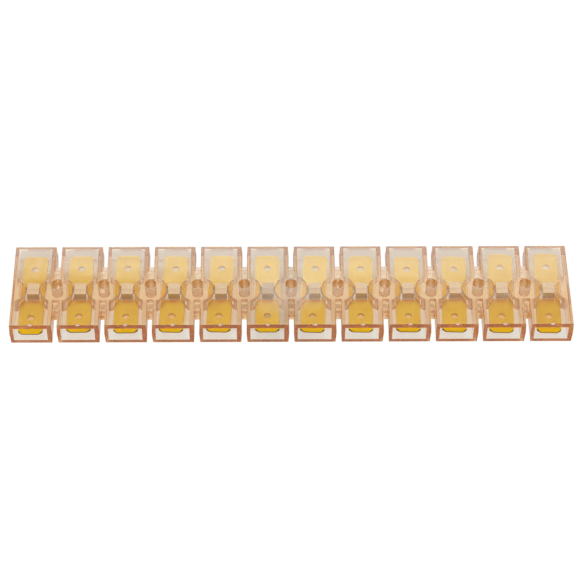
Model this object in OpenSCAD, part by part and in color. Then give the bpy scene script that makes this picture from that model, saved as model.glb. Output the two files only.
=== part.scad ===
// Spade connector strip.
// A row of clear moulded cells, open front and back. Each cell holds one flat
// brass tab with a push-on blade at both ends. Narrow webs join the cells, and
// every web carries a round boss with a fixing hole.
// X runs along the strip, the front mouths face -Y, Z is up, and the strip
// stands on the flat undersides of its cells. All sizes are in millimetres.

/* [Strip] */
// Number of ways side by side
ways = 12; // [2:1:12]
// Distance from one way to the next
pitch = 12.2; // [12:0.1:13]
// Depth of the housing, from front mouth to back mouth
body_d = 26.6; // [26:0.1:29]
// Height of the housing
body_h = 7.1; // [6.9:0.1:8]

/* [Cells] */
// Width of a cell along its top edges
cell_w_top = 10.65; // [10.5:0.05:10.9]
// Width of a cell at the parting line, half way up
cell_w_mid = 11; // [10.9:0.05:11.2]
// Width of a cell along its bottom edges
cell_w_bottom = 10.6; // [10.4:0.05:10.9]
// Thickness of the top wall
wall_top = 1.45; // [1.2:0.05:1.6]
// Thickness of the bottom wall
wall_bottom = 1.15; // [1:0.05:1.4]
// Width of the chamber between the side walls
chamber_w = 8.7; // [8.5:0.05:8.9]
// Sideways offset of the chambers, as the cores stood in the mould
core_shift = -0.15; // [-0.2:0.05:0.2]
// Width of the post in the middle of each cell
post_w = 3.1; // [2.9:0.05:3.2]
// Depth of that post, from front to back
post_d = 3.7; // [3.5:0.05:3.75]
// Distance of the posts and pillars in front of the middle of the cells
core_fwd = 0.4; // [0:0.05:0.4]
// Width of the small gate scar on the front top edge of each cell
gate_w = 1.3; // [1:0.1:1.5]

/* [Webs and fixing holes] */
// Length of a web, along the depth of the housing
web_len = 15.7; // [12:0.1:18]
// Height of a web's underside
web_z0 = 2.5; // [2:0.1:3]
// Height of a web's top side
web_z1 = 5.2; // [5:0.1:6]
// Length of the full-height neck in the middle of a web
neck_len = 9.6; // [9:0.1:10]
// Diameter of a fixing boss, which stands out into the chambers on both sides
boss_d = 8.6; // [8.2:0.1:8.6]
// Diameter of the fixing hole in its upper half
hole_d_top = 3; // [2.95:0.05:3.2]
// Diameter of the fixing hole in its lower half
hole_d_low = 2.85; // [2.7:0.05:2.9]
// Distance of the fixing holes behind the middle of the webs
hole_y = 0.4; // [0:0.1:0.5]

/* [Tabs] */
// Width of a tab: the standard push-on blade
tab_w = 6.3; // [6.2:0.05:6.4]
// Thickness of the brass sheet
tab_t = 0.8; // [0.7:0.05:0.85]
// Length of a tab from blade tip to blade tip
tab_len = 25.3; // [24:0.1:25.4]
// Height of the middle of the sheet
tab_z = 3.4; // [3.35:0.05:3.5]
// Diameter of the latching hole in each blade
latch_d = 1.8; // [1.6:0.1:2]
// Distance of the latching hole from the blade tip
latch_in = 4.6; // [3.8:0.1:4.8]
// Width of the window that the post passes through
window_w = 4; // [3.95:0.05:4.1]
// Length of that window
window_len = 4.8; // [4.7:0.05:5.2]
// Corner cut at the blade tips, across the blade
tip_x = 1; // [0.6:0.1:1.4]
// Corner cut at the blade tips, along the blade
tip_y = 0.9; // [0.6:0.1:1.4]
// Length of the lead-in bevel at the blade tips
bevel_len = 0.7; // [0.4:0.1:1]
// Depth of the lead-in bevel
bevel_in = 0.22; // [0.1:0.02:0.3]

/* [Hidden] */
$fn = 64;
eps = 0.01;
// How each tab sits in its seat: [turn about Z, nose down about X, forward]
tab_seats = [
    [-0.6,  0.8, 0.45],
    [ 0.6, -0.4, 0.05],
    [ 0.2,  0.6, 0.10],
    [-2.4, -0.3, 0.10],
    [-2.2, -0.3, 0.05],
    [ 0.0, -0.2, 0.10],
    [-3.0,  0.0, 0.20],
    [-1.2, -0.4, 0.25],
    [-0.8, -1.4, 0.40],
    [-2.4, -1.0, 0.40],
    [-2.4,  1.8, 0.15],
    [-1.8,  2.4, 0.15]
];
// Slot through the pillars, with room for the seats above
slot_h = 1.3;
slot_w = 6.9;
// Distance of a tab's window in front of the tab's middle
window_fwd = core_fwd * 0.75;
boss_r = boss_d / 2;
chamber_h = body_h - wall_top - wall_bottom;
function cell_x(i) = (i - (ways - 1) / 2) * pitch;
function gap_x(i) = cell_x(i) + pitch / 2;
function two(i) = str(i < 10 ? "0" : "", i);
function tab_name(i) = str("spade_tab_", two(i + 1));

// Outside of one cell: drafted both ways from the parting line
module cell_block() {
    rotate([90, 0, 0])
        linear_extrude(height = body_d, center = true)
            polygon([
                [-cell_w_bottom / 2, 0], [cell_w_bottom / 2, 0],
                [cell_w_mid / 2, body_h / 2], [cell_w_top / 2, body_h],
                [-cell_w_top / 2, body_h], [-cell_w_mid / 2, body_h / 2]
            ]);
}

// The space through one cell, from mouth to mouth
module chamber() {
    translate([core_shift - chamber_w / 2, -body_d / 2 - 1, wall_bottom])
        cube([chamber_w, body_d + 2, chamber_h]);
}

// The shallow scar that the moulding gate leaves on the front top edge
module gate_scar() {
    r = 0.9;
    drop = sqrt(r * r - gate_w * gate_w / 4);
    translate([0, -body_d / 2 - drop * 0.75, body_h + drop * 0.66])
        sphere(r = r);
}

module boss_column() {
    translate([0, -core_fwd, 0]) cylinder(h = body_h, d = boss_d);
}

// Web between two cells, with a full-height neck in the middle
module web() {
    w = pitch - cell_w_mid + 1;
    translate([-w / 2, -web_len / 2, web_z0])
        cube([w, web_len, web_z1 - web_z0]);
    translate([-w / 2, -neck_len / 2, 0])
        cube([w, neck_len, body_h]);
}

// Screw hole, narrower below the parting line
module fixing_hole() {
    translate([0, hole_y, -1]) cylinder(h = body_h + 2, d = hole_d_low);
    translate([0, hole_y, body_h / 2]) cylinder(h = body_h, d = hole_d_top);
}

// The flat slot through both pillars of a cell, in which the tab lies
module tab_slot() {
    translate([core_shift, -core_fwd, tab_z])
        cube([slot_w, boss_d + 1, slot_h], center = true);
}

// The post that passes through the tab's window
module post() {
    translate([-post_w / 2, -core_fwd - post_d / 2, eps])
        cube([post_w, post_d, body_h - 2 * eps]);
}

module housing() {
    color([0.93, 0.77, 0.64, 0.6])
    difference() {
        union() {
            difference() {
                union() {
                    for (i = [0:ways - 1])
                        translate([cell_x(i), 0, 0])
                            difference() {
                                cell_block();
                                chamber();
                            }
                    for (i = [0:ways - 2])
                        translate([gap_x(i), 0, 0]) {
                            boss_column();
                            web();
                        }
                    for (e = [[0, -1], [ways - 1, 1]])
                        translate([cell_x(e[0]), 0, 0])
                            intersection() {
                                cell_block();
                                translate([e[1] * pitch / 2, 0, 0]) boss_column();
                            }
                }
                for (i = [0:ways - 1])
                    translate([cell_x(i), 0, 0]) tab_slot();
            }
            for (i = [0:ways - 1])
                translate([cell_x(i), 0, 0]) post();
        }
        for (i = [0:ways - 2])
            translate([gap_x(i), 0, 0]) fixing_hole();
        for (i = [0:ways - 1])
            translate([cell_x(i), 0, 0]) gate_scar();
    }
}

// Outline of a tab: straight blades with cut corners
module tab_outline() {
    w = tab_w / 2;
    l = tab_len / 2;
    polygon([
        [-w, -l + tip_y], [-w + tip_x, -l], [w - tip_x, -l], [w, -l + tip_y],
        [w, l - tip_y], [w - tip_x, l], [-w + tip_x, l], [-w, l - tip_y]
    ]);
}

// Side view of a tab: both faces run out in a lead-in bevel at the tips
module tab_profile() {
    t = tab_t / 2;
    l = tab_len / 2;
    polygon([
        [-l, -t + bevel_in], [-l + bevel_len, -t], [l - bevel_len, -t], [l, -t + bevel_in],
        [l, t - bevel_in], [l - bevel_len, t], [-l + bevel_len, t], [-l, t - bevel_in]
    ]);
}

// One brass tab, in the seat of way i
module spade_tab(i) {
    seat = tab_seats[i];
    color([0.87, 0.68, 0.22])
    translate([cell_x(i) + core_shift, -seat[2], tab_z])
        rotate([0, 0, seat[0]])
            rotate([seat[1], 0, 0])
                difference() {
                    intersection() {
                        linear_extrude(height = tab_t, center = true) tab_outline();
                        rotate([90, 0, 90])
                            linear_extrude(height = tab_w + 1, center = true) tab_profile();
                    }
                    translate([0, -window_fwd, 0])
                        cube([window_w, window_len, tab_t + 1], center = true);
                    for (s = [-1, 1])
                        translate([0, s * (tab_len / 2 - latch_in), 0])
                            cylinder(h = tab_t + 1, d = latch_d, center = true);
                }
}

housing();
for (i = [0:ways - 1])
    spade_tab(i);
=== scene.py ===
"""Looks of the spade connector strip: a clear peach-tinted moulding, twelve brass tabs, a plain white stage."""

import math

import bmesh
import bpy
from mathutils import Matrix, Vector


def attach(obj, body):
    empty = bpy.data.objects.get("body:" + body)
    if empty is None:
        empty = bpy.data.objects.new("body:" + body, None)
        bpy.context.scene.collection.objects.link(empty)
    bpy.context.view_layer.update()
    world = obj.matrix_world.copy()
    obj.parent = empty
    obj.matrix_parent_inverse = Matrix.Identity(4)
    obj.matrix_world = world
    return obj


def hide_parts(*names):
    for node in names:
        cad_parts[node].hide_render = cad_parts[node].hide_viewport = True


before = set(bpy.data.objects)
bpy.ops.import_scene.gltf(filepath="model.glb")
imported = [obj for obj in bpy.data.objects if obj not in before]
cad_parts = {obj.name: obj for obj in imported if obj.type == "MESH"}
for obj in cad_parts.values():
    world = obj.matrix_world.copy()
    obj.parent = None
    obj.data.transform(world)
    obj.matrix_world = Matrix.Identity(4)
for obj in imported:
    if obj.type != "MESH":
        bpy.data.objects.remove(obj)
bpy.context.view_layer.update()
scene = bpy.context.scene

MM = 0.001
PITCH = 12.2 * MM
HALF_DEPTH = 13.3 * MM
HEIGHT = 7.1 * MM


# ---------------------------------------------------------------- node helpers
def fresh(material):
    material.use_nodes = True
    material.node_tree.nodes.clear()
    return material.node_tree


def add(tree, kind, place=(0, 0), **settings):
    node = tree.nodes.new(kind)
    node.location = place
    for key, value in settings.items():
        setattr(node, key, value)
    return node


def feed(tree, target, source):
    """Links a socket to an input, or sets a constant on it."""
    if isinstance(source, bpy.types.NodeSocket):
        tree.links.new(source, target)
    else:
        target.default_value = source


def maths(tree, operation, a, b=0.0, clamp=False):
    node = add(tree, "ShaderNodeMath", operation=operation, use_clamp=clamp)
    feed(tree, node.inputs[0], a)
    feed(tree, node.inputs[1], b)
    return node.outputs[0]


def ramp(tree, value, low, high, to_low=0.0, to_high=1.0, smooth=True):
    node = add(tree, "ShaderNodeMapRange", interpolation_type="SMOOTHSTEP" if smooth else "LINEAR")
    feed(tree, node.inputs["Value"], value)
    node.inputs["From Min"].default_value = low
    node.inputs["From Max"].default_value = high
    node.inputs["To Min"].default_value = to_low
    node.inputs["To Max"].default_value = to_high
    return node.outputs["Result"]


def noise(tree, vector, scale, detail=3.0, rough=0.5, stretch=None):
    """Noise in object space; scale is in cycles per metre, stretch a factor per axis."""
    if stretch is not None:
        mapping = add(tree, "ShaderNodeMapping")
        feed(tree, mapping.inputs["Vector"], vector)
        mapping.inputs["Scale"].default_value = stretch
        vector = mapping.outputs["Vector"]
    node = add(tree, "ShaderNodeTexNoise")
    feed(tree, node.inputs["Vector"], vector)
    node.inputs["Scale"].default_value = scale
    node.inputs["Detail"].default_value = detail
    node.inputs["Roughness"].default_value = rough
    return node.outputs["Fac"]


def blend_colour(tree, factor, a, b):
    node = add(tree, "ShaderNodeMix", data_type="RGBA")
    feed(tree, node.inputs["Factor"], factor)
    feed(tree, node.inputs[6], a)
    feed(tree, node.inputs[7], b)
    return node.outputs[2]


def bump(tree, height, distance, strength=1.0, after=None):
    node = add(tree, "ShaderNodeBump")
    feed(tree, node.inputs["Height"], height)
    node.inputs["Distance"].default_value = distance
    node.inputs["Strength"].default_value = strength
    if after is not None:
        feed(tree, node.inputs["Normal"], after)
    return node.outputs["Normal"]


# ------------------------------------------------------------------- materials
def clear_plastic():
    """Clear moulded plastic with a peach tint: paler where thin, deep orange where seen edge on."""
    material = bpy.data.materials.new("clear_peach_plastic")
    tree = fresh(material)
    out = add(tree, "ShaderNodeOutputMaterial", (900, 0))
    shader = add(tree, "ShaderNodeBsdfPrincipled", (600, 0))
    where = add(tree, "ShaderNodeTexCoord", (-1200, 0)).outputs["Object"]

    # the frosted scar of the moulding gate, in the middle of each cell's front top edge
    split = add(tree, "ShaderNodeSeparateXYZ")
    feed(tree, split.inputs[0], where)
    across = maths(tree, "SUBTRACT", maths(tree, "FRACT", maths(tree, "ADD", maths(tree, "DIVIDE", split.outputs[0], PITCH), 6.0)), 0.5)
    offset = add(tree, "ShaderNodeCombineXYZ")
    feed(tree, offset.inputs[0], maths(tree, "MULTIPLY", across, PITCH))
    feed(tree, offset.inputs[1], maths(tree, "ADD", split.outputs[1], HALF_DEPTH))
    feed(tree, offset.inputs[2], maths(tree, "SUBTRACT", split.outputs[2], HEIGHT))
    reach = add(tree, "ShaderNodeVectorMath", operation="LENGTH")
    feed(tree, reach.inputs[0], offset.outputs[0])
    ragged = maths(tree, "MULTIPLY_ADD", noise(tree, where, 1800.0, 2.0), 0.0006)
    ragged.node.inputs[2].default_value = -0.0003
    scar = ramp(tree, maths(tree, "ADD", reach.outputs["Value"], ragged), 0.00075, 0.0005)

    tint = noise(tree, where, 70.0, 2.0)
    colour = blend_colour(tree, tint, (0.985, 0.965, 0.945, 1), (0.998, 0.985, 0.972, 1))
    feed(tree, shader.inputs["Base Color"], blend_colour(tree, scar, colour, (0.99, 0.97, 0.96, 1)))

    # polished faces, and mouth frames and upright walls that the mould leaves a little matt
    facing = add(tree, "ShaderNodeSeparateXYZ")
    feed(tree, facing.inputs[0], add(tree, "ShaderNodeNewGeometry").outputs["Normal"])
    ends = maths(tree, "MULTIPLY", ramp(tree, maths(tree, "ABSOLUTE", facing.outputs[1]), 0.8, 0.97), ramp(tree, maths(tree, "ABSOLUTE", split.outputs[1]), 0.0128, 0.0131))
    upright = ramp(tree, maths(tree, "ABSOLUTE", facing.outputs[2]), 0.3, 0.1)
    to_gap = maths(tree, "MULTIPLY", maths(tree, "SUBTRACT", 0.5, maths(tree, "ABSOLUTE", across)), PITCH)
    to_row = maths(tree, "ADD", split.outputs[1], 0.0004)
    to_boss = maths(tree, "SQRT", maths(tree, "ADD", maths(tree, "MULTIPLY", to_gap, to_gap), maths(tree, "MULTIPLY", to_row, to_row)))
    upright = maths(tree, "MULTIPLY", upright, maths(tree, "MAXIMUM", ramp(tree, to_boss, 0.00452, 0.00442, 0.14, 0.42), ramp(tree, to_boss, 0.0032, 0.0028, 0.0, 0.6)))
    handled = ramp(tree, noise(tree, where, 260.0, 4.0, 0.6), 0.35, 0.75, 0.012, 0.05)
    matt = maths(tree, "MAXIMUM", maths(tree, "MULTIPLY", ends, ramp(tree, split.outputs[1], -0.001, 0.001, 0.22, 0.5)), maths(tree, "MULTIPLY", scar, 0.5))
    matt = maths(tree, "MAXIMUM", matt, upright)
    lying = maths(tree, "MULTIPLY", ramp(tree, maths(tree, "ABSOLUTE", facing.outputs[2]), 0.8, 0.95), maths(tree, "MULTIPLY", ramp(tree, split.outputs[2], 0.0016, 0.0013), ramp(tree, split.outputs[2], 0.0006, 0.0009)))
    matt = maths(tree, "MAXIMUM", matt, maths(tree, "MULTIPLY", lying, 0.3))
    feed(tree, shader.inputs["Roughness"], maths(tree, "MAXIMUM", handled, matt))

    sink = bump(tree, noise(tree, where, 170.0, 1.0), 0.00002, 0.5)
    peel = bump(tree, noise(tree, where, 1500.0, 2.0), 0.000004, 0.5, sink)
    grit = bump(tree, maths(tree, "MULTIPLY", noise(tree, where, 4200.0, 3.0), scar), 0.00012, 0.8, peel)
    feed(tree, shader.inputs["Normal"], grit)

    shader.inputs["Transmission Weight"].default_value = 1.0
    shader.inputs["IOR"].default_value = 1.58
    feed(tree, out.inputs["Surface"], shader.outputs[0])
    depth = add(tree, "ShaderNodeVolumeAbsorption", (600, -500))
    depth.inputs["Color"].default_value = (0.925, 0.715, 0.37, 1)
    depth.inputs["Density"].default_value = 200.0
    feed(tree, out.inputs["Volume"], depth.outputs[0])
    return material


def brass_sheet():
    """Rolled brass strip: fine lines along the blade, faint stains, dull sheared edges."""
    material = bpy.data.materials.new("rolled_brass")
    tree = fresh(material)
    out = add(tree, "ShaderNodeOutputMaterial", (900, 0))
    shader = add(tree, "ShaderNodeBsdfPrincipled", (600, 0))
    where = add(tree, "ShaderNodeTexCoord", (-1200, 0)).outputs["Object"]
    facing = add(tree, "ShaderNodeSeparateXYZ")
    feed(tree, facing.inputs[0], add(tree, "ShaderNodeNewGeometry").outputs["Normal"])
    upright = maths(tree, "ABSOLUTE", facing.outputs[2])
    cut = ramp(tree, upright, 0.75, 0.35)

    lines = noise(tree, where, 1.0, 4.0, 0.65, (5200.0, 160.0, 900.0))
    stains = noise(tree, where, 330.0, 4.0, 0.6)
    shear = noise(tree, where, 1.0, 3.0, 0.6, (6500.0, 6500.0, 500.0))

    face = blend_colour(tree, ramp(tree, lines, 0.3, 0.7), (0.79, 0.467, 0.018, 1), (0.905, 0.57, 0.03, 1))
    face = blend_colour(tree, ramp(tree, stains, 0.55, 0.8, 0.0, 0.5), face, (0.66, 0.385, 0.015, 1))
    edge = blend_colour(tree, shear, (0.58, 0.36, 0.02, 1), (0.78, 0.50, 0.03, 1))
    split = add(tree, "ShaderNodeSeparateXYZ")
    feed(tree, split.inputs[0], where)
    across = maths(tree, "SUBTRACT", maths(tree, "FRACT", maths(tree, "ADD", maths(tree, "DIVIDE", split.outputs[0], PITCH), 6.0)), 0.5)
    off_middle = maths(tree, "MULTIPLY", maths(tree, "ABSOLUTE", across), PITCH)
    from_post = maths(tree, "ABSOLUTE", split.outputs[1])
    # the cut faces at the blade tips are much darker
    edge = blend_colour(tree, ramp(tree, from_post, 0.0115, 0.0119), edge, (0.20, 0.12, 0.012, 1))
    # a painted highlight: the walls of the back fixing holes are painted pale
    back_hole_highlight = maths(tree, "MULTIPLY", ramp(tree, off_middle, 0.0020, 0.0016), maths(tree, "MULTIPLY", ramp(tree, from_post, 0.0060, 0.0064), ramp(tree, from_post, 0.0106, 0.0102)))
    edge = blend_colour(tree, maths(tree, "MULTIPLY", back_hole_highlight, ramp(tree, split.outputs[1], 0.0, 0.001)), edge, (0.92, 0.72, 0.36, 1))
    feed(tree, shader.inputs["Base Color"], blend_colour(tree, cut, face, edge))

    matt = maths(tree, "ADD", ramp(tree, lines, 0.3, 0.75, 0.28, 0.38), ramp(tree, stains, 0.5, 0.8, 0.0, 0.08))
    worn = maths(tree, "MULTIPLY", cut, 0.18)
    feed(tree, shader.inputs["Roughness"], maths(tree, "ADD", matt, worn))

    rolled = bump(tree, lines, 0.000004, 0.6)
    torn = bump(tree, maths(tree, "MULTIPLY", shear, cut), 0.00004, 0.7, rolled)
    feed(tree, shader.inputs["Normal"], torn)
    shader.inputs["Metallic"].default_value = 1.0
    feed(tree, out.inputs["Surface"], shader.outputs[0])
    return material


def glowing(name, colour, strength):
    material = bpy.data.materials.new(name)
    tree = fresh(material)
    out = add(tree, "ShaderNodeOutputMaterial", (300, 0))
    light = add(tree, "ShaderNodeEmission")
    light.inputs["Color"].default_value = (*colour, 1)
    light.inputs["Strength"].default_value = strength
    feed(tree, out.inputs["Surface"], light.outputs[0])
    return material


# ---------------------------------------------------------------------- meshes
def welded(node, name):
    """A closed mesh of a CAD node, with its flat faces in one piece."""
    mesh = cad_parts[node].data.copy()
    mesh.name = name
    mesh.materials.clear()
    bm = bmesh.new()
    bm.from_mesh(mesh)
    bmesh.ops.remove_doubles(bm, verts=bm.verts, dist=1.5e-6)
    bmesh.ops.dissolve_limit(bm, angle_limit=math.radians(0.3), verts=bm.verts, edges=bm.edges)
    bm.normal_update()
    return mesh, bm


def soften(bm, offset, segments, least_angle, keep=None):
    """Rounds every edge that is sharper than the angle, apart from those that keep() holds back."""
    sharp = [e for e in bm.edges if len(e.link_faces) == 2 and e.calc_face_angle(0.0) > math.radians(least_angle)]
    if keep is not None:
        sharp = [e for e in sharp if e.is_convex and not keep((e.verts[0].co + e.verts[1].co) / 2)]
    bmesh.ops.bevel(bm, geom=sharp, offset=offset, offset_type="OFFSET", segments=segments, profile=0.5, affect="EDGES", clamp_overlap=keep is None)
    bmesh.ops.remove_doubles(bm, verts=bm.verts, dist=1e-6)


def fine_edge(at):
    """The short edges of the gate scars and of the steps in the fixing holes stay as they are."""
    across = (at.x / PITCH + 6.0) % 1.0 * PITCH - PITCH / 2
    if abs(across) < 0.67 * MM and at.y < -12.9 * MM and at.z > 6.7 * MM:
        return True
    across = (at.x / PITCH + 5.5) % 1.0 * PITCH - PITCH / 2
    return math.hypot(across, at.y) < 2.0 * MM and 3.0 * MM < at.z < 4.0 * MM


def level_normals(piece):
    """Weights the normals by face area, so that flat faces shade and refract flat right up to their rounded edges."""
    weighted = piece.modifiers.new("level", "WEIGHTED_NORMAL")
    weighted.mode = "FACE_AREA"
    weighted.weight = 100
    weighted.thresh = 0.0
    weighted.keep_sharp = True
    bpy.context.view_layer.update()
    rough = piece.data
    name = rough.name
    piece.data = bpy.data.meshes.new_from_object(piece.evaluated_get(bpy.context.evaluated_depsgraph_get()), preserve_all_data_layers=True, depsgraph=bpy.context.evaluated_depsgraph_get())
    piece.modifiers.clear()
    bpy.data.meshes.remove(rough)
    piece.data.name = name


def finish_piece(mesh, bm, name, material, node, smooth_angle):
    for f in bm.faces:
        f.smooth = True
    bm.normal_update()
    bm.to_mesh(mesh)
    bm.free()
    mesh.set_sharp_from_angle(angle=math.radians(smooth_angle))
    mesh.materials.append(material)
    piece = bpy.data.objects.new(name, mesh)
    scene.collection.objects.link(piece)
    level_normals(piece)
    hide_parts(node)
    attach(piece, "root")
    return piece


def make_housing(material):
    mesh, bm = welded("housing", "clear_moulding")
    soften(bm, 0.10 * MM, 2, 28.0, fine_edge)
    return finish_piece(mesh, bm, "clear_moulding", material, "housing", 24.0)


def make_tab(node, material):
    name = node.replace("spade_tab", "brass_tab")
    mesh, bm = welded(node, name)
    # the blade corners, rounded as the stamping leaves them
    middle = sum((v.co for v in bm.verts), Vector()) / len(bm.verts)
    corners = []
    for e in bm.edges:
        run = e.verts[1].co - e.verts[0].co
        at = (e.verts[0].co + e.verts[1].co) / 2 - middle
        if run.length > 0.2 * MM and abs(run.normalized().z) > 0.9 and abs(at.y) > 10 * MM:
            corners.append(e)
    bmesh.ops.bevel(bm, geom=corners, offset=0.22 * MM, offset_type="OFFSET", segments=4, profile=0.5, affect="EDGES", clamp_overlap=True)
    soften(bm, 0.05 * MM, 2, 30.0)
    return finish_piece(mesh, bm, name, material, node, 24.0)


def frosted_skin():
    """The whitened skin that stays where the moulding gate was broken off."""
    material = bpy.data.materials.new("gate_frost")
    tree = fresh(material)
    out = add(tree, "ShaderNodeOutputMaterial", (900, 0))
    shader = add(tree, "ShaderNodeBsdfPrincipled", (600, 0))
    where = add(tree, "ShaderNodeTexCoord", (-1200, 0)).outputs["Object"]
    torn = noise(tree, where, 5200.0, 3.0)
    feed(tree, shader.inputs["Base Color"], blend_colour(tree, ramp(tree, torn, 0.35, 0.65), (0.62, 0.52, 0.45, 1), (0.93, 0.89, 0.85, 1)))
    feed(tree, shader.inputs["Roughness"], ramp(tree, torn, 0.3, 0.7, 0.35, 0.6))
    feed(tree, shader.inputs["Normal"], bump(tree, torn, 0.00005, 0.6))
    feed(tree, out.inputs["Surface"], shader.outputs[0])
    return material


def make_frost(material):
    """One thin lens of frosted skin in each gate scar."""
    radius, rings, sectors = 0.9, 4, 28
    corner = Vector((0, 0.751, -0.661))
    across, down = Vector((1, 0, 0)), Vector((0, -0.661, -0.751))
    verts, faces = [], []
    for way in range(12):
        centre = Vector(((way - 5.5) * 12.2, -13.767, 7.511))
        base = len(verts)
        for skin in (1, -1):
            for ring in range(rings + 1):
                if skin < 0 and ring == rings:
                    continue
                for k in range(sectors if ring else 1):
                    turn = 2 * math.pi * k / sectors
                    ragged = 1 + 0.12 * math.sin(3 * turn + way * 1.7) + 0.08 * math.sin(7 * turn + way * 2.9)
                    reach = ring / rings
                    a = math.radians(36.0) * reach * ragged * math.cos(turn)
                    b = math.radians(12.0) * reach * ragged * math.sin(turn) + math.radians(1.6)
                    way_out = (corner * math.cos(a) * math.cos(b) + across * math.sin(a) + down * math.cos(a) * math.sin(b)).normalized()
                    lift = 0.016 + skin * 0.010 * (1 - reach * reach)
                    verts.append((centre + way_out * (radius - lift)) * MM)

        def at(skin, ring, k):
            if ring == rings:
                skin = 1
            start = base if skin > 0 else base + 1 + rings * sectors
            return start if ring == 0 else start + 1 + (ring - 1) * sectors + k % sectors

        for skin in (1, -1):
            for ring in range(rings):
                for k in range(sectors):
                    loop = [at(skin, ring, k), at(skin, ring + 1, k), at(skin, ring + 1, k + 1), at(skin, ring, k + 1)]
                    loop = list(dict.fromkeys(loop))
                    faces.append(loop if skin > 0 else loop[::-1])
    mesh = bpy.data.meshes.new("gate_frost")
    mesh.from_pydata(verts, [], faces)
    mesh.update()
    bm = bmesh.new()
    bm.from_mesh(mesh)
    bmesh.ops.recalc_face_normals(bm, faces=bm.faces)
    for f in bm.faces:
        f.smooth = True
    bm.to_mesh(mesh)
    bm.free()
    mesh.materials.append(material)
    piece = bpy.data.objects.new("gate_frost", mesh)
    scene.collection.objects.link(piece)
    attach(piece, "root")
    return piece


plastic = clear_plastic()
brass = brass_sheet()
make_housing(plastic)
make_frost(frosted_skin())
for node in sorted(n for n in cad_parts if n.startswith("spade_tab")):
    make_tab(node, brass)


# ----------------------------------------------------------------------- stage
def card(name, centre, right, up, material):
    """A flat rectangle given by its centre and its two half sides."""
    centre, right, up = Vector(centre), Vector(right), Vector(up)
    mesh = bpy.data.meshes.new(name)
    mesh.from_pydata([centre - right - up, centre + right - up, centre + right + up, centre - right + up], [], [(0, 1, 2, 3)])
    mesh.update()
    mesh.materials.append(material)
    piece = bpy.data.objects.new(name, mesh)
    scene.collection.objects.link(piece)
    return piece


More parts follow.
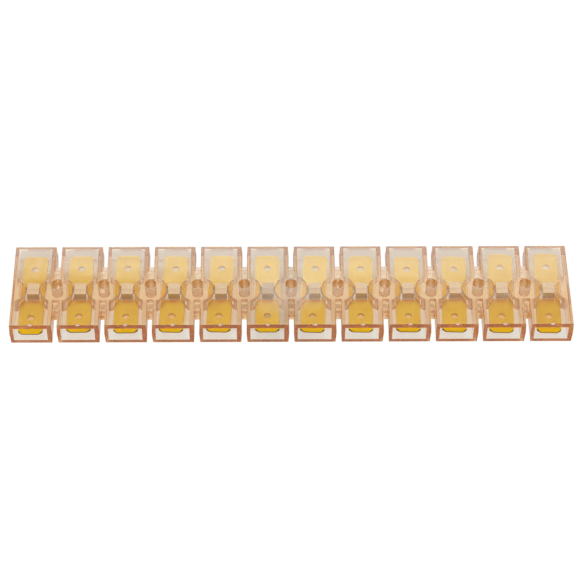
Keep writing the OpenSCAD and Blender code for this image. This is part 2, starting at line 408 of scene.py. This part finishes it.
def pale_floor():
    """A pale floor that glows, with light and shade painted into the glow: painted shade behind the cells and under the
    webs, brighter painted light across the middle and beyond the shade, painted brass-coloured light and a painted
    shadow under the tabs, and a painted shadow of the camera over the middle cells.
    """
    material = bpy.data.materials.new("pale_floor")
    tree = fresh(material)
    out = add(tree, "ShaderNodeOutputMaterial", (300, 0))
    shader = add(tree, "ShaderNodeBsdfPrincipled")
    split = add(tree, "ShaderNodeSeparateXYZ")
    feed(tree, split.inputs[0], add(tree, "ShaderNodeTexCoord").outputs["Object"])
    along, depth = split.outputs[0], split.outputs[1]
    across = maths(tree, "SUBTRACT", maths(tree, "FRACT", maths(tree, "ADD", maths(tree, "DIVIDE", along, PITCH), 6.0)), 0.5)
    off_middle = maths(tree, "MULTIPLY", maths(tree, "ABSOLUTE", across), PITCH)
    on_strip = ramp(tree, maths(tree, "ABSOLUTE", along), 0.0737, 0.0731)
    in_cell = maths(tree, "MULTIPLY", on_strip, ramp(tree, off_middle, 0.0053, 0.0046))
    under_tab = maths(tree, "MULTIPLY", on_strip, ramp(tree, off_middle, 0.0033, 0.0027))
    # painted shade on the floor behind and inside the cells
    shade = maths(tree, "MULTIPLY", maths(tree, "MULTIPLY", ramp(tree, depth, 0.001, 0.009), ramp(tree, depth, 0.0187, 0.0168)), in_cell)

    # the glow is painted light: neutral under the mouths, peachier further back
    glow = blend_colour(tree, ramp(tree, depth, -0.0105, -0.0085), (0.73, 0.745, 0.76, 1), (0.775, 0.66, 0.575, 1))
    # a painted brighter band across the middle, round the bosses and posts
    glow = blend_colour(tree, maths(tree, "MULTIPLY", ramp(tree, depth, -0.0024, -0.0014), ramp(tree, depth, 0.0075, 0.0045)), glow, (0.86, 0.80, 0.76, 1))
    in_gap = maths(tree, "MULTIPLY", on_strip, ramp(tree, off_middle, 0.0052, 0.0057))
    # painted shade on the floor under the webs between the cells
    web_shade = maths(tree, "MAXIMUM", ramp(tree, depth, -0.0012, -0.0022), ramp(tree, depth, 0.0072, 0.0084))
    glow = blend_colour(tree, maths(tree, "MULTIPLY", in_gap, web_shade), glow, (0.58, 0.46, 0.38, 1))
    # painted brighter light on the floor beyond the painted shade
    glow = blend_colour(tree, ramp(tree, depth, 0.0168, 0.0187), glow, (0.92, 0.88, 0.72, 1))
    # the painted shade itself, browner inside the cells than behind them
    glow = blend_colour(tree, shade, glow, blend_colour(tree, ramp(tree, depth, 0.009, 0.014), (0.515, 0.318, 0.165, 1), (0.512, 0.356, 0.272, 1)))
    # under the tabs: painted brass-coloured light in front, painted light under the posts, and a painted dark shadow
    # just behind them
    tab_light_and_shadow = add(tree, "ShaderNodeValToRGB")
    feed(tree, tab_light_and_shadow.inputs["Fac"], ramp(tree, depth, -0.010, 0.014, smooth=False))
    stops = tab_light_and_shadow.color_ramp.elements
    stops[0].position, stops[0].color = 0.0, (0.73, 0.745, 0.76, 1)
    stops[1].position, stops[1].color = 1.0, (0.512, 0.356, 0.272, 1)
    for y, colour in ((-7.0, (0.85, 0.56, 0.26)), (-3.5, (0.75, 0.45, 0.18)), (-2.3, (0.78, 0.77, 0.80)), (1.8, (0.78, 0.77, 0.80)), (2.3, (0.30, 0.19, 0.03)), (4.8, (0.30, 0.19, 0.03)), (8.0, (0.55, 0.37, 0.16)), (10.6, (0.66, 0.52, 0.38)), (12.2, (0.47, 0.36, 0.28))):
        stop = stops.new((y + 10.0) / 24.0)
        stop.color = (*colour, 1)
    glow = blend_colour(tree, under_tab, glow, tab_light_and_shadow.outputs["Color"])
    feed(tree, shader.inputs["Emission Color"], glow)
    # a painted shadow of the camera, dimming the glow over the middle cells
    aside = maths(tree, "DIVIDE", maths(tree, "ADD", along, 0.003), 0.009)
    middle = maths(tree, "EXPONENT", maths(tree, "MULTIPLY", maths(tree, "MULTIPLY", aside, aside), -1.0))
    painted_camera_shadow = maths(tree, "MULTIPLY", middle, maths(tree, "MULTIPLY", ramp(tree, depth, -0.0105, -0.0085, 0.10, 0.32), ramp(tree, depth, 0.006, 0.012, 1.0, 0.12)))
    feed(tree, shader.inputs["Emission Strength"], maths(tree, "SUBTRACT", 1.0, painted_camera_shadow))
    shader.inputs["Base Color"].default_value = (0.08, 0.08, 0.08, 1)
    shader.inputs["Roughness"].default_value = 0.9
    shader.inputs["Specular IOR Level"].default_value = 0.1
    feed(tree, out.inputs["Surface"], shader.outputs[0])
    return material


# the strip stands cut out on pure white: the camera sees a plain white surround, and the pale floor
# under the strip is what the clear walls show
floor = card("floor", (0, 0, -0.06 * MM), (4, 0, 0), (0, 4, 0), pale_floor())
floor.visible_camera = False

surround_mesh = bpy.data.meshes.new("surround")
dome = bmesh.new()
bmesh.ops.create_icosphere(dome, subdivisions=4, radius=9.0)
dome.to_mesh(surround_mesh)
dome.free()
surround_mesh.materials.append(glowing("white_surround", (1.0, 1.0, 1.0), 1.02))
surround_mesh.materials[0].cycles.emission_sampling = "NONE"
surround = bpy.data.objects.new("surround", surround_mesh)
scene.collection.objects.link(surround)
surround.visible_diffuse = surround.visible_glossy = surround.visible_transmission = surround.visible_shadow = surround.visible_volume_scatter = False

# a soft light behind the strip, low enough for the back half of the top faces to mirror it;
# it fades out at its top edge, which is highest in the middle
REACH = 2.2


def soft_panel():
    material = bpy.data.materials.new("soft_light")
    tree = fresh(material)
    out = add(tree, "ShaderNodeOutputMaterial", (600, 0))
    light = add(tree, "ShaderNodeEmission", (300, 0))
    split = add(tree, "ShaderNodeSeparateXYZ")
    feed(tree, split.inputs[0], add(tree, "ShaderNodeTexCoord").outputs["Object"])
    flat = maths(tree, "DIVIDE", split.outputs[2], maths(tree, "SQRT", maths(tree, "ADD", maths(tree, "MULTIPLY", split.outputs[0], split.outputs[0]), maths(tree, "MULTIPLY", split.outputs[1], split.outputs[1]))))
    height = maths(tree, "MULTIPLY", maths(tree, "ARCTANGENT", flat), 180 / math.pi)
    turn = maths(tree, "MULTIPLY", maths(tree, "ARCTAN2", split.outputs[0], split.outputs[1]), 180 / math.pi)
    sag = maths(tree, "MULTIPLY", maths(tree, "POWER", maths(tree, "SUBTRACT", turn, 2.0), 2.0), 0.005)
    off = maths(tree, "DIVIDE", maths(tree, "SUBTRACT", turn, 0.6), 1.7)
    crest = maths(tree, "MULTIPLY", maths(tree, "EXPONENT", maths(tree, "MULTIPLY", maths(tree, "MULTIPLY", off, off), -1.0)), -0.8)
    glow = ramp(tree, maths(tree, "ADD", height, maths(tree, "ADD", sag, crest)), 50.6, 49.35, 0.6, 2.85)
    light.inputs["Color"].default_value = (0.70, 0.985, 1.10, 1)
    feed(tree, light.inputs["Strength"], glow)
    feed(tree, out.inputs["Surface"], light.outputs[0])
    return material


low, high = math.radians(47.0), math.radians(51.6)
bottom = Vector((0, REACH * math.cos(low), REACH * math.sin(low)))
top = Vector((0, REACH * math.cos(high), REACH * math.sin(high)))
box_card = card("soft_light", (bottom + top) / 2, (0.42, 0, 0), (top - bottom) / 2, soft_panel())
box_card.visible_camera = False
box_card.visible_diffuse = False

# the main light, high in front, whose shadow falls behind the strip; on the glowing floor the darker shade behind the
# cells is painted shade
lift = math.radians(45.0)
aim = Vector((0, -math.cos(lift), math.sin(lift)))
main = card("main_light", aim * 1.2, (1.0, 0, 0), Vector((0, math.sin(lift), math.cos(lift))) * 0.8, glowing("main_light", (1.0, 1.0, 1.0), 1.4))
main.visible_camera = False

world = bpy.data.worlds.new("studio")
scene.world = world
world.use_nodes = True
world.node_tree.nodes["Background"].inputs["Color"].default_value = (1.0, 1.0, 1.0, 1)
world.node_tree.nodes["Background"].inputs["Strength"].default_value = 0.88

# ---------------------------------------------------------------------- camera
elevation, azimuth, roll = math.radians(50.124), math.radians(0.917), math.radians(0.5396)
ahead = Vector((math.sin(azimuth) * math.cos(elevation), math.cos(azimuth) * math.cos(elevation), -math.sin(elevation)))
side = Vector((math.cos(azimuth), -math.sin(azimuth), 0))
over = side.cross(ahead)
image_right = side * math.cos(roll) + over * math.sin(roll)
image_up = over * math.cos(roll) - side * math.sin(roll)
lens = bpy.data.cameras.new("camera")
lens.sensor_width = 36.0
lens.lens = 2183.6 / 584 * 36.0
lens.clip_start = 0.01
lens.clip_end = 50.0
camera = bpy.data.objects.new("camera", lens)
scene.collection.objects.link(camera)
turn = Matrix((image_right, image_up, -ahead)).transposed().to_4x4()
camera.matrix_world = Matrix.Translation(Vector((-5.64, -365.6, 441.94)) * MM) @ turn
scene.camera = camera

# the dark room behind the camera, which the clear walls throw back
dark = bpy.data.materials.new("dark_room")
tree = fresh(dark)
dark_out = add(tree, "ShaderNodeOutputMaterial", (300, 0))
dark_shader = add(tree, "ShaderNodeBsdfDiffuse")
dark_shader.inputs["Color"].default_value = (0.45, 0.42, 0.40, 1)
feed(tree, dark_out.inputs["Surface"], dark_shader.outputs[0])
back = camera.matrix_world.translation - ahead * 0.05
shade = card("dark_room", back, image_right * 0.035, image_up * 0.035, dark)
shade.visible_camera = False

scene.view_settings.view_transform = "Standard"
scene.view_settings.look = "None"
scene.view_settings.exposure = 0.0
scene.view_settings.gamma = 1.0
scene.cycles.max_bounces = 32
scene.cycles.transmission_bounces = 32
scene.cycles.glossy_bounces = 16
scene.cycles.diffuse_bounces = 6
scene.cycles.use_denoising = True
scene.cycles.blur_glossy = 0.0
